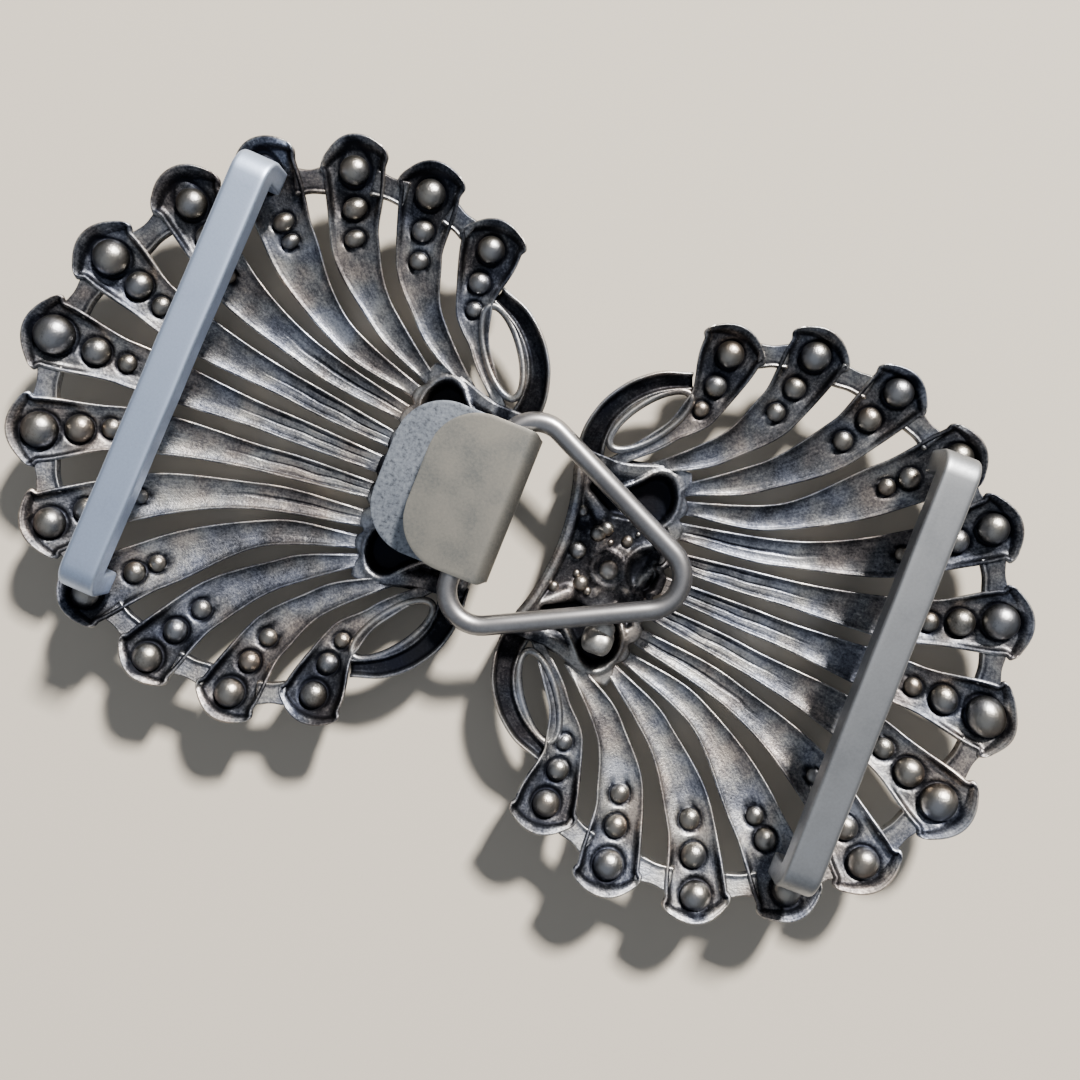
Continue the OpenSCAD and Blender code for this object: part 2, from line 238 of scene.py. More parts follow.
def member(bm, rows, shape, seam=None):
    """Rolls a grid round the rows. shape gives height above the dish, how bright the metal is
    rubbed with some painted shade in creases, and sideways lag.
    At a seam the last row is drawn together to one line at that height."""
    columns = len(across(1))
    rows = rows + ([rows[-1]] if seam is not None else [])
    made = bmesh.ops.create_grid(bm, x_segments=columns - 1, y_segments=len(rows) - 1, size=1)
    wear_and_painted_light = bm.verts.layers.float["wear_and_painted_light"]
    grain = bm.verts.layers.float_vector["grain"]
    places = [across(row[2] - (0 if seam is None else 2 * corner(row[4]))) for row in rows]
    for v in made["verts"]:
        i = round((v.co.x + 1) / 2 * (columns - 1))
        j = round((v.co.y + 1) / 2 * (len(rows) - 1))
        q, d, width, start, end = rows[j]
        a, e, under = places[j][i]
        n = Vector((-d.y, d.x))
        p = q + n * a
        height, wear_and_shade, lag = shape(p, a, e, under, width, start, end)
        if seam is not None and j == len(rows) - 1:
            height = seam
        p = p - d * lag
        v.co = (p.x, p.y, dish(p.x, p.y) + height)
        v[wear_and_painted_light] = wear_and_shade
        v[grain] = (a, start, 0)
    bmesh.ops.remove_doubles(bm, verts=made["verts"], dist=SAME_POINT)
    bmesh.ops.holes_fill(bm, edges=open_edges(made["verts"]), sides=len(places[0]))


TIP_CROWD = [0, 0.06, 0.12, 0.2, 0.3, 0.45, 0.62, 0.76, 0.86, 0.95, 1.05, 1.2]
WHOLE = 99
PETAL_STEPS = [(WHOLE, 0.42), (7.5, 0.17)]
TIP_SEAM = 0.1
BEAD_SHINE = 1
# Where a petal's forms begin and are full, from its tip, its root or its long edge
CUP_RUN, TIP_RUN, ROOT_RUN, ROOT_RISE = (6.2, 3.4), 1.6, (0.5, 2.6), (0, 1.1)
RAIL_SIDE, WALL_SIDE = (0.08, 0.26), (0.22, 0.6)
RIM_SIDE, LINE_SIDE, ROUND_SIDE = (0.38, 0.78), (0.1, 0.22), (0, 0.13)
# Their heights
FLUTE_ROOT, FLUTE_RISE, FLUTE_HOLLOW, RAIL_LIFT = -0.3, 0.5, 0.28, 0.1
RIM_HEIGHT, LINE_LIFT, ROUNDING, GROOVE_DEPTH, MOAT_DEPTH = 0.48, 0.13, 0.12, 0.1, 0.2
# How far a petal's tip is drawn back at its corners, as a share of its width
TIP_BOW = 0.26
# How dark grooves and moats are, and how bright the rim's outer line is
GROOVE_DARK, MOAT_DARK, LINE_SHINE = 0.26, 0.55, 0.72
# Undersides: how square they are, how thin a petal's is at its tip, and how bright they are
UNDER_ROUND, UNDER_TIP, UNDER_SHINE, PETAL_UNDER_SHINE = 0.7, 0.25, 0.5, 0.55
# A bead's foot and how much brighter its top is, between which heights, and how flat it is
BEAD_FOOT, BEAD_GAIN, BEAD_RUN, BEAD_FLAT = 0.2, 0.7, (-0.15, 0.6), 0.9


def near(x, middle, width):
    """1 at the middle, falling to nothing over the width."""
    return math.exp(-((x - middle) / width) ** 2)


def petal_shape(beads, grooves, cup_shine):
    """The back of a petal: a shallow flute between thin edges, and a cup with a thin rim."""
    def shape(p, a, e, under, width, start, end):
        lag = TIP_BOW * width * (2 * a / width) ** 2 * smooth(2.6, 0, end)
        if under:
            tip = math.sqrt(max(0, 1 - (1 - min(1, end / TIP_RUN)) ** 2))
            deep = WALL * under ** UNDER_ROUND * (UNDER_TIP + (1 - UNDER_TIP) * tip)
            return -deep, PETAL_UNDER_SHINE, lag
        cup = smooth(*CUP_RUN, end)
        root = smooth(*ROOT_RUN, start)
        rail = (1 - smooth(*RAIL_SIDE, e)) * root
        wall = 1 - smooth(*WALL_SIDE, e)
        flute = FLUTE_ROOT + FLUTE_RISE * smooth(*ROOT_RISE, start)
        flute += (FLUTE_HOLLOW * abs(2 * a / width) ** 2.4 + RAIL_LIFT * rail) * root
        height = flute + (EDGE * wall - flute) * cup
        rim = 1 - smooth(*RIM_SIDE, end)
        line = 1 - smooth(*LINE_SIDE, min(e, end))
        height = max(height, (RIM_HEIGHT + LINE_LIFT * line) * rim)
        height -= ROUNDING * (1 - smooth(*ROUND_SIDE, min(e, end)))
        wear_and_shade = FLUTE_SHINE + (cup_shine - FLUTE_SHINE) * cup
        # Dark lines in the crease inside each long edge and inside the tip's rim are painted shade.
        wear_and_shade -= (0.1 + 0.14 * cup) * near(e, 0.36, 0.1) * root + 0.34 * near(end, 0.7, 0.1)
        uneven = noise.noise(Vector((p.x * 0.6, p.y * 0.6, 9)))
        wear_and_shade = max(wear_and_shade, (0.58 + 0.6 * uneven) * rail)
        wear_and_shade = max(wear_and_shade, (0.5 + 0.3 * uneven) * rim, LINE_SHINE * line * rim)
        if grooves:
            waver = 0.07 * noise.noise(Vector((p.x * 0.5, p.y * 0.5, 3)))
            groove = smooth(0.5, 1, math.cos(2 * math.pi * grooves * (a / width + waver)))
            groove *= smooth(14, 5, start) * root * (1 - rail)
            height -= GROOVE_DEPTH * groove
            wear_and_shade -= GROOVE_DARK * groove
        for centre, size in beads:
            off = (p - centre).length - size / 2
            moat = near(off, 0.03, 0.13) * (1 - 0.8 * rail)
            height -= MOAT_DEPTH * moat
            wear_and_shade -= MOAT_DARK * moat
        return height, min(1, max(0, wear_and_shade)), lag
    return shape


def bead(bm, centre, size, lift=0.0, shine=1.0, tone=BEAD_SHINE):
    """A domed bead, sunk to its middle in the metal. Its top is rubbed bright.
    The third part of its grain is its tone, which tells the finish that it is a bead."""
    made = bmesh.ops.create_uvsphere(bm, u_segments=24, v_segments=14, radius=size / 2)
    wear_and_painted_light = bm.verts.layers.float["wear_and_painted_light"]
    grain = bm.verts.layers.float_vector["grain"]
    base = dish(*centre) + lift
    for v in made["verts"]:
        v[wear_and_painted_light] = shine * (BEAD_FOOT + BEAD_GAIN * smooth(*BEAD_RUN, v.co.z / (size / 2)))
        v[grain] = (v.co.x, v.co.y, tone)
        v.co = (v.co.x + centre[0], v.co.y + centre[1], v.co.z * BEAD_FLAT + base)


def new_casting():
    """An empty mesh whose points carry how rubbed they are, with some painted shade and painted
    highlight, their petal and their place on it.
    """
    bm = bmesh.new()
    bm.verts.layers.float.new("wear_and_painted_light")
    bm.verts.layers.float.new("member")
    bm.verts.layers.float_vector.new("grain")
    return bm


def belongs(bm, k):
    """Notes on all the vertices made since the last note that they belong to petal k."""
    layer = bm.verts.layers.float["member"]
    for v in bm.verts:
        v[layer] = v[layer] or k + 1


GROOVES = [3, 3, 2, 0, 0, 0, 0]
FLUTE_SHINE = 0.62
CUP_SHINE = [0.56, 0.54, 0.5, 0.44, 0.4, 0.37, 0.36]
half_fan = new_casting()
for k in range(1, len(PETALS)):
    rows = rows_along(petal_points(PETALS[k]), PETALS[k][4], PETAL_STEPS, TIP_CROWD)
    member(half_fan, rows, petal_shape(petal_beads(k), GROOVES[k], CUP_SHINE[k]), TIP_SEAM)
    for centre, size in petal_beads(k):
        bead(half_fan, centre, size)
    belongs(half_fan, k)
print("faces on one side's petals:", len(half_fan.faces))

# %% [markdown]
# Outside the hub an oval loop hole lies beside the last petal. Its outer side is a band with a thin
# edge and a dark channel, and a rounded border runs round the hole, as a wire bent to an oval would.
# Small flat links join each petal to the next one near the tips, so that the pierced slots stay
# closed.

# %% The loop band and the links
BAND = [(-14.7, 6.6), (-15.0, 8.8), (-14.75, 10.6), (-13.7, 12.6), (-12.0, 14.2), (-9.6, 15.3)]
BAND_WIDTHS = (2.2, 2.1, 1.9, 1.8, 1.7, 1.4)
HUB_TOP = 3.8
# The band's thickness, and where it comes up to the hub's top and out of the hub
BAND_DEEP, BAND_LEVEL, BAND_RISE = 0.9, (0.5, 3.0), (0, 1.2)
# Its raised outer and inner edges, the inner one's share of the height, and its corners
BAND_OUTER, BAND_INNER, INNER_SHARE, BAND_ROUND = (0.16, 0.42), (0.2, 0.5), 0.7, 0.14
CHANNEL_DEPTH, CHANNEL_SHINE, BAND_SHINE = 0.15, 0.18, 0.6
LINK_WIDTHS, LINK_RADIUS, LINK_REACH = (1.85, 1.6, 1.85), 19.8, 0.9
LINK_TOP, LINK_UNDER, LINK_DEEP, LINK_SHINE = 0.46, 0.15, 0.8, 0.6
# Places of a link's bright inner edge and of the dark line beside it, each with its width
LINK_EDGE, LINK_LINE = (0.12, 0.1), (0.36, 0.07)


def band_shape(p, a, e, under, width, start, end):
    """A thin outer edge, a dark channel and the raised border of the loop hole."""
    low = min(0, HUB_TOP - 0.1 - EDGE - dish(p.x, p.y)) * (1 - smooth(*BAND_LEVEL, start))
    rise = smooth(*BAND_RISE, start)
    low -= BAND_DEEP * (1 - rise)
    if under:
        return low - BAND_DEEP * under ** UNDER_ROUND, UNDER_SHINE, 0
    lift = 1 - smooth(*BAND_OUTER, e) if a > 0 else INNER_SHARE * (1 - smooth(*BAND_INNER, e))
    round_off = BAND_ROUND * (1 - smooth(0, BAND_ROUND, e))
    height = low + EDGE * lift - round_off - CHANNEL_DEPTH
    return height, CHANNEL_SHINE + BAND_SHINE * lift * rise, 0


def link_shape(p, a, e, under, width, start, end):
    """A flat link with soft edges, a little lower than the petals' edges."""
    if under:
        return LINK_UNDER - LINK_DEEP * under, UNDER_SHINE, 0
    inner = near(e, *LINK_EDGE) if a > 0 else 0
    line = near(e, *LINK_LINE) if a > 0 else 0
    height = LINK_TOP + 0.1 * inner - 0.3 * (1 - smooth(0, 0.12, e))
    return height, LINK_SHINE + 0.2 * inner - 0.3 * line, 0


def as_vectors(points):
    """Pairs of numbers as points in the plan."""
    return [Vector(p) for p in points]


def bent(bm, path, section, closed):
    """Rolls a grid round a path of (point, sideways, upwards) rows, and returns its vertices."""
    columns, rows = len(section), len(path)
    last = rows if closed else rows - 1
    made = bmesh.ops.create_grid(bm, x_segments=columns, y_segments=last, size=1)
    for v in made["verts"]:
        i = round((v.co.x + 1) / 2 * columns) % columns
        j = round((v.co.y + 1) / 2 * last) % rows
        point, out, high = path[j]
        v.co = point + out * section[i][0] + high * section[i][1]
    bmesh.ops.remove_doubles(bm, verts=made["verts"], dist=SAME_POINT)
    if not closed:
        bmesh.ops.holes_fill(bm, edges=open_edges(made["verts"]), sides=columns)
    return [v for v in made["verts"] if v.is_valid]


def full_turn(steps):
    """Angles once round."""
    return [2 * math.pi * k / steps for k in range(steps)]


def border_base(x, y):
    """Height that the loop hole's border lies at."""
    return min(dish(x, y), HUB_TOP - 0.3)


LOOP_MIDDLE, LOOP_LONG, LOOP_WIDE = Vector((-11.5, 11.45)), 3.6, 1.36
LOOP_TURN = Matrix.Rotation(math.radians(54), 2)
BORDER_HALF, BORDER_RISE = 0.3, 0.5
UPWARDS = Vector((0, 0, 1))
oval = []
for t in full_turn(64):
    p = LOOP_MIDDLE + LOOP_TURN @ Vector((LOOP_LONG * math.cos(t), LOOP_WIDE * math.sin(t)))
    out = LOOP_TURN @ Vector((LOOP_WIDE * math.cos(t), LOOP_LONG * math.sin(t))).normalized()
    oval.append((Vector((*p, border_base(*p) + 0.05)), Vector((*out, 0)), UPWARDS))
border = [(BORDER_HALF * math.cos(t), BORDER_RISE * math.sin(t)) for t in full_turn(16)]
wear_and_painted_light = half_fan.verts.layers.float["wear_and_painted_light"]
for v in bent(half_fan, oval, border, True):
    v[wear_and_painted_light] = 0.35 + 0.4 * smooth(0.1, 0.45, v.co.z - border_base(v.co.x, v.co.y))

member(half_fan, rows_along(as_vectors(BAND), BAND_WIDTHS, [(WHOLE, 0.3)], [0]), band_shape)
belongs(half_fan, len(PETALS))
for k in range(len(PETALS) - 1):
    a, b = petal_points(PETALS[k])[3], petal_points(PETALS[k + 1])[3]
    middle, side = (a + b).normalized() * LINK_RADIUS, (b - a).normalized()
    reach = ((b - a).length - LINK_REACH * (PETALS[k][4][3] + PETALS[k + 1][4][3]) / 2) / 2
    path = [middle - side * reach, middle, middle + side * reach]
    member(half_fan, rows_along(path, LINK_WIDTHS, [(WHOLE, 0.2)], [0]), link_shape)
    belongs(half_fan, k + 0.5)
print("faces with band and links:", len(half_fan.faces))

# %% [markdown]
# The hub joins the roots of all the petals. Towards the other half it ends in a smooth hollow
# edge. Its floor is sunk and black, with a bead in a collar, smaller beads and granulation, and
# two kidney shaped recesses with thin bright walls.

# %% The hub
# The recess as a chain of circles, each by its centre and radius
KIDNEY = [(-8.9, 5.7, 1.75), (-11.3, 4.6, 0.95), (-13.5, 5.1, 0.4)]
COLLAR = (-10.05, -0.45)
# Place and diameter of each bead
HUB_BEADS = [(*COLLAR, 1.65), (-12.9, 0.1, 1.4), (-11.9, 1.9, 1.35), (-11.4, 2.5, 1.2), (-11.7, -2.2, 1.3),
             (-13.7, 3.1, 0.9), (-13.6, -3.2, 0.9), (-9.5, 2.2, 0.95), (-10.7, 1.6, 0.5), (-11.0, -2.6, 0.7),
             (-8.9, 3.0, 0.4), (-12.3, -1.6, 0.6)]
# The slots' ends beside the hub, and how deep and wide the hub's edge is hollowed there
SLOT_ENDS = [1.15, 3.35, 5.3, 6.85]
SLOT_HOLLOW, SLOT_HALF = 0.5, 0.34
HOLLOW = (-6.9, 0.5)
HUB_HALF = 8.2
# The hub's two edges: their place in the middle, and how far out they curve away
EDGE_X, EDGE_SPREAD = -14.6, 6
END_X, END_CURVE, END_SPREAD = -5.5, 1.4, 8.3
# The hub's sides: how much they widen towards the petals' roots, how much narrower they begin,
# and between which places they widen
SIDE_SPREAD, SIDE_DRAW, SIDE_RUN = 0.16, 0.07, (-12.8, -7.6)
# Depth of the sunk floor below the dish, of the underside, and height of the recess's floor
HUB_SUNK, HUB_UNDER, RECESS_Z = 0.5, 1.05, 1.05


def hub_edge(y):
    """The hollow edge towards the other half."""
    return EDGE_X - min(abs(y), EDGE_SPREAD) ** 2 / EDGE_SPREAD ** 2


def hub_end(y):
    """The edge towards the petals, hollowed round the end of each slot."""
    hollows = sum(near(abs(y), slot, SLOT_HALF) for slot in SLOT_ENDS)
    return END_X - END_CURVE * (abs(y) / END_SPREAD) ** 3 - SLOT_HOLLOW * hollows


def to_line(p, a, b):
    """Distance of a point from the line between a and b, and how far along the nearest place is."""
    t = min(1, max(0, (p - a).dot(b - a) / (b - a).length_squared))
    return (p - a.lerp(b, t)).length, t


def kidney(x, y):
    """Distance outside the wall of the recess, negative inside it."""
    found = []
    for (ax, ay, ar), (bx, by, br) in zip(KIDNEY, KIDNEY[1:]):
        away, t = to_line(Vector((x, abs(y))), Vector((ax, ay)), Vector((bx, by)))
        found.append(away - ar - (br - ar) * t)
    return min(found)


def ridge(x, y, a, b, width):
    """1 on the line from a to b, falling to 0 at width."""
    return 1 - smooth(0.2 * width, width, to_line(Vector((x, y)), Vector(a), Vector(b))[0])


def hub_height(x, y):
    """Height of the hub's back and how bright it is rubbed, with some painted shade."""
    inner, outer = x - hub_edge(y), hub_end(y) - x
    floor = dish(x, y) - HUB_SUNK
    crumbs = noise.noise(Vector((x * 1.1, y * 1.1, 4)))
    crumbs += 0.5 * noise.noise(Vector((x * 3, y * 3, 6)))
    z, wear_and_shade = floor + 0.2 * crumbs, 0.26 + 0.3 * smooth(0.0, 0.5, crumbs)
    wide = 0.9 + smooth(3.2, 4.6, abs(y))
    plate = smooth(wide, 0.68 * wide, outer)
    web = smooth(6.8, 7.3, abs(y)) * smooth(-13.6, -12.2, x)
    shoulder = smooth(5.6, 7.0, abs(y)) * smooth(-10.2, -11.2, x)
    from_bead = math.hypot(x - COLLAR[0], y - COLLAR[1])
    from_hollow = math.hypot(x - HOLLOW[0], y - HOLLOW[1])
    collar = near(from_bead, 1.3, 0.3)
    strap = ridge(x, abs(y), (-14.9, 5.7), (-12.3, 3.3), 0.95)
    crescent = near(from_hollow, 2.1, 0.3) * smooth(-7.0, -7.8, x)
    wall = 1 - smooth(0.1, 0.5, abs(kidney(x, y) - 0.3))
    wall *= smooth(-13.4, -12.2, x) * max(smooth(4.6, 5.6, abs(y)), smooth(-8.2, -7.4, x))
    # Each raised form: where it is, its height above the floor and how bright it is rubbed. The
    # plate is darker near its middle: painted shade, as under the end of the hook's lower plate.
    raised = [(plate, 0.74, 0.12 + 0.6 * smooth(1.2, 3, abs(y))), (web, 0.74, 0.62),
              (shoulder, 0.6, 0.2), (smooth(1.6, 1.1, from_bead), 0.2, 0.3), (collar, 0.32, 0.4),
              (strap, 0.6, 0.55), (crescent, 0.35, 0.45), (wall, 0.95, 0.7)]
    for lift, amount, shine in raised:
        z = max(z, floor + amount * lift)
        wear_and_shade = max(wear_and_shade, shine * lift)
    hollow = smooth(1.9, 1.3, from_hollow) * smooth(0.5, 1.0, outer)
    crumb = ridge(x, y, (-7.3, -0.5), (-6.5, 1.3), 0.75)
    crumb *= 0.7 + 0.6 * noise.noise(Vector((x * 2.4, y * 2.4, 2)))
    z -= 0.3 * hollow - 0.35 * crumb
    wear_and_shade *= 1 - 0.8 * hollow
    wear_and_shade = max(wear_and_shade, 0.7 * crumb)
    sunk = smooth(0.12, -0.25, kidney(x, y))
    z = z + (RECESS_Z - z) * sunk
    wear_and_shade *= 1 - sunk
    z -= 0.14 * (1 - smooth(0, 0.25, outer))
    rim = (1 - smooth(0.7, 1.05, inner)) * smooth(7.6, 6.4, abs(y))
    z = max(z, min(HUB_TOP, dish(x, y) + 0.75) * rim + z * (1 - rim))
    z -= 0.3 * (1 - smooth(0, 0.4, inner))
    return z, max(wear_and_shade, 0.66 * rim)


def make_hub(bm):
    """A grid rolled round the hub: its back, then its plain underside."""
    top, below, rows = 84, 12, 96
    made = bmesh.ops.create_grid(bm, x_segments=top + below, y_segments=rows, size=1)
    wear_and_painted_light = bm.verts.layers.float["wear_and_painted_light"]
    for v in made["verts"]:
        i = round((v.co.x + 1) / 2 * (top + below))
        y = v.co.y * HUB_HALF
        t = i / top if i <= top else 1 - (i - top) / below
        x = hub_edge(y) + (hub_end(y) - hub_edge(y)) * t
        z, wear_and_shade = hub_height(x, y)
        spread = SIDE_SPREAD * smooth(*SIDE_RUN, x) - SIDE_DRAW
        y *= 1 + spread * smooth(0.6, 1, abs(v.co.y))
        if i > top and 0 < t:
            boss = smooth(0.8, 0.3, kidney(x, y))
            z, wear_and_shade = (dish(x, y) - HUB_UNDER) * (1 - boss), UNDER_SHINE
        v.co = (x, y, z)
        v[wear_and_painted_light] = wear_and_shade
    bmesh.ops.remove_doubles(bm, verts=made["verts"], dist=SAME_POINT)
    bmesh.ops.holes_fill(bm, edges=open_edges(made["verts"]), sides=top + below)
    for x, y, size in HUB_BEADS:
        bead(bm, (x, y), size, -0.45, 0.9, 0 if (x, y) == COLLAR else BEAD_SHINE)


print("recess depth in mm:", round(dish(*KIDNEY[0][:2]) - RECESS_Z, 2))

# %% [markdown]
# The finished fan is one casting: the second side mirrors the first, and the middle petal and the
# hub are added. The clasp uses the same casting twice, one turned half round to face the other.

# %% The two castings
def to_object(bm, name, node):
    """Makes an object of the mesh, in metres, in place of a CAD node."""
    bmesh.ops.recalc_face_normals(bm, faces=bm.faces)
    bmesh.ops.scale(bm, vec=(MM, MM, MM), verts=bm.verts)
    for f in bm.faces:
        f.smooth = True
    mesh = bpy.data.meshes.new(name)
    bm.to_mesh(mesh)
    bm.free()
    piece = bpy.data.objects.new(name, mesh)
    bpy.context.collection.objects.link(piece)
    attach(piece, "root")
    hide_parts(node)
    return piece


fan = half_fan.copy()
mirrored = bmesh.ops.duplicate(fan, geom=fan.verts[:] + fan.edges[:] + fan.faces[:])["geom"]
copies = [g for g in mirrored if isinstance(g, bmesh.types.BMVert)]
bmesh.ops.scale(fan, vec=(1, -1, 1), verts=copies)
bmesh.ops.reverse_faces(fan, faces=[g for g in mirrored if isinstance(g, bmesh.types.BMFace)])
belongs(fan, len(PETALS))
rows = rows_along(petal_points(PETALS[0]), PETALS[0][4], PETAL_STEPS, TIP_CROWD)
member(fan, rows, petal_shape(petal_beads(0), GROOVES[0], CUP_SHINE[0]), TIP_SEAM)
for centre, size in petal_beads(0):
    bead(fan, centre, size)
belongs(fan, 0)
make_hub(fan)
belongs(fan, len(PETALS))

# How far the petals of one side are bent, by petal, as shares of the shift of a bead at the rim
HOOK_BENT = [0.05, 0.3, 0.95, 1, 0.95, 0.3, 0.1, 0, 0]
RING_BENT = [0.35, 0.95, 0.75, 0.8, 0.85, 0.9, 0.6, 0, 0]
# The shift, how much more the tips are drawn out, and between which radii a petal gives way
PRESSED_BY, PRESSED_TIP, PRESSED_RUN = Vector((-1.3, 0.4)), 0.8, (11, 20.5)
SPLAYED_BY, SPLAYED_TIP, SPLAYED_RUN = 0.92, 0.25, (9, 20.5)
TIP_FROM = 20
# Half the width over which the middle petal gives way, and the radii over which the bent side's rims get a
# painted highlight
MIDDLE_HALF, RIM_GLINT_RUN = 1.5, (13, 17)


def pressed(p, tip):
    """The hook's half was pressed in under one end of its bar, which drew its tips out."""
    return PRESSED_BY * smooth(*PRESSED_RUN, p.length) + p.normalized() * PRESSED_TIP * tip


def splayed(p, tip):
    """The ring's half was opened a little on its lower side, most at the tips."""
    return p.normalized() * (SPLAYED_BY * smooth(*SPLAYED_RUN, p.length) + SPLAYED_TIP * tip)


def bend(bm, shares, shift, shine):
    """Moves the members of one side as a whole, and keeps them on the dish and the beads round.
    On that side the rims also get a painted highlight."""
    layer, wear_and_painted_light = bm.verts.layers.float["member"], bm.verts.layers.float["wear_and_painted_light"]
    grain = bm.verts.layers.float_vector["grain"]
    for v in bm.verts:
        p, k = v.co.xy, v[layer] - 1
        side = smooth(MIDDLE_HALF, -MIDDLE_HALF, p.y) if k < 0.25 else float(p.y < 0)
        share = shares[int(k)] + (shares[int(k) + 1] - shares[int(k)]) * (k % 1)
        tip = 0 if v[grain].z else smooth(TIP_FROM, FAN_R, p.length)
        q = p + shift(p, tip) * share * side
        v.co = (q.x, q.y, v.co.z + dish(*q) - dish(*p))
        # A painted highlight on the rims of the bent side.
        v[wear_and_painted_light] += shine * share * side * smooth(*RIM_GLINT_RUN, p.length)


# Last column: how strong a painted highlight the bent side's rims get.
HALVES = [("hook_shell", math.pi, (-FAN_X, FAN_SIDE, 0), HOOK_BENT, pressed, 0),
          ("ring_shell", 0, (FAN_X, -FAN_SIDE, 0), RING_BENT, splayed, 0.13)]
castings = []
for node, turned, place, shares, shift, shine in HALVES:
    half = fan.copy()
    bend(half, shares, shift, shine)
    bmesh.ops.rotate(half, cent=(0, 0, 0), matrix=Matrix.Rotation(turned, 3, "Z"), verts=half.verts)
    bmesh.ops.translate(half, vec=place, verts=half.verts)
    castings.append(to_object(half, node + "_casting", node))
    print(node, "triangles:", sum(len(f.vertices) - 2 for f in castings[-1].data.polygons))

# %% [markdown]
# The hook is one strip of sheet bent back on itself. Its middle surface is drawn first as a grid
# bent round the fold, then given its thickness, and the cut edges are softened as a file would.

# %% The folded hook
HOOK_W, HOOK_T, HOOK_GAP, HOOK_Z = 12.2, 0.75, 1.75, 3.95
FOLD_X, UPPER, LOWER, CORNER, HOOK_Y = -0.4, 8.1, 11.0, 3.9, 0.8
HOOK_EDGE = 0.33
SHEET_ACROSS, SHEET_ALONG = 40, 150
# How much narrower the strip is at the fold, and over what run it narrows
FOLD_NARROW, FOLD_RUN = 0.4, 1.3
# The pad that stands for the hidden solder: radius, height and the height of its middle
PAD_R, PAD_TALL, PAD_X, PAD_Z = 1.1, 2.3, -10, 3.0


def strip_point(s):
    """Place in the side view after a run of s along the strip, from the lower plate's free end."""
    r = (HOOK_T + HOOK_GAP) / 2
    centre = FOLD_X - HOOK_T / 2 - r
    flat = centre - (FOLD_X - LOWER)
    z = HOOK_Z + HOOK_T / 2
    if s < flat:
        return FOLD_X - LOWER + s, z
    turn = (s - flat) / r
    if turn < math.pi:
        return centre + r * math.sin(turn), z + r - r * math.cos(turn)
    return centre - (s - flat - math.pi * r), z + 2 * r


def hook_run():
    """Length of the strip before it was folded."""
    r = (HOOK_T + HOOK_GAP) / 2
    return LOWER + UPPER - 2 * (HOOK_T / 2 + r) + math.pi * r


sheet = bmesh.new()
made = bmesh.ops.create_grid(sheet, x_segments=SHEET_ACROSS, y_segments=SHEET_ALONG, size=1)
for v in made["verts"]:
    s = (v.co.y + 1) / 2 * hook_run()
    from_end = min(s, hook_run() - s)
    half = HOOK_W / 2
    if from_end < CORNER:
        half += math.sqrt(CORNER ** 2 - (CORNER - from_end) ** 2) - CORNER
    x, z = strip_point(s)
    half -= FOLD_NARROW * smooth(FOLD_X - FOLD_RUN, FOLD_X - HOOK_T / 2, x) ** 2
    v.co = (x, HOOK_Y + v.co.x * half, z)
bmesh.ops.recalc_face_normals(sheet, faces=sheet.faces)
bmesh.ops.solidify(sheet, geom=sheet.faces[:], thickness=HOOK_T)
low = min(v.co.z for v in sheet.verts)
bmesh.ops.translate(sheet, vec=(0, 0, HOOK_Z - low), verts=sheet.verts)
pad = bmesh.ops.create_cone(sheet, cap_ends=True, segments=32,
                            radius1=PAD_R, radius2=PAD_R, depth=PAD_TALL)
bmesh.ops.translate(sheet, vec=(PAD_X, HOOK_Y, PAD_Z), verts=pad["verts"])
hook = to_object(sheet, "folded_hook", "hook")
soft = hook.modifiers.new("soft edges", "BEVEL")
soft.width = HOOK_EDGE * MM
soft.segments = 3
soft.limit_method = "ANGLE"
soft.angle_limit = math.radians(35)
soft.harden_normals = False
print("hook's developed length in mm:", round(hook_run(), 2))

# %% [markdown]
# Wire and bar are bent cold, so a straight run meets its bends without a step. One tool makes both:
# it carries a cross section along a path and keeps it upright.

# %% Bent wire and bar
BEND_STEPS = 12


def rounded(corners, radius, step):
    """A closed path through straight runs and round corners, as points."""
    out = []
    for i, b in enumerate(corners):
        a, c = corners[i - 1], corners[(i + 1) % len(corners)]
        u, v = (a - b).normalized(), (c - b).normalized()
        half = math.acos(u.dot(v)) / 2
        m = (u + v).normalized()
        centre = b + m * radius / math.sin(half)
        first = b + u * radius / math.tan(half)
        if out:
            run = first - out[-1]
            count = max(1, round(run.length / step))
            out += [out[-1] + run * k / count for k in range(1, count)]
        turn = math.pi - 2 * half
        spin = 1 if u.cross(v) < 0 else -1
        for k in range(BEND_STEPS + 1):
            out.append(centre + Matrix.Rotation(spin * turn * k / BEND_STEPS, 2) @ (first - centre))
    run = out[0] - out[-1]
    count = max(1, round(run.length / step))
    return out + [out[-1] + run * k / count for k in range(1, count)]


WIRE, RING_Z, RING_BEND = 1.55, HOOK_Z + HOOK_T + HOOK_GAP / 2, 2.6
WIRE_WOBBLE = 0.03
RING_CORNERS = as_vectors([(16.2, 0.2), (-3.5, 9.3), (-3.5, -9.9)])
points = rounded(RING_CORNERS, RING_BEND, 0.5)
path = []
for i, p in enumerate(points):
    d = (points[(i + 1) % len(points)] - points[i - 1]).normalized()
    wobble = WIRE_WOBBLE * noise.noise(Vector((p.x * 0.3, p.y * 0.3, 7)))
    path.append((Vector((p.x, p.y, RING_Z + wobble)), Vector((d.y, -d.x, 0)), UPWARDS))
wire_round = [(WIRE / 2 * math.cos(t), WIRE / 2 * math.sin(t)) for t in full_turn(28)]
loop = bmesh.new()
bent(loop, path, wire_round, True)
ring = to_object(loop, "wire_ring", "ring")
wire_run = sum((a - b).length for a, b in zip(points, points[1:] + points[:1]))
print("wire used for the ring in mm:", round(wire_run, 1))

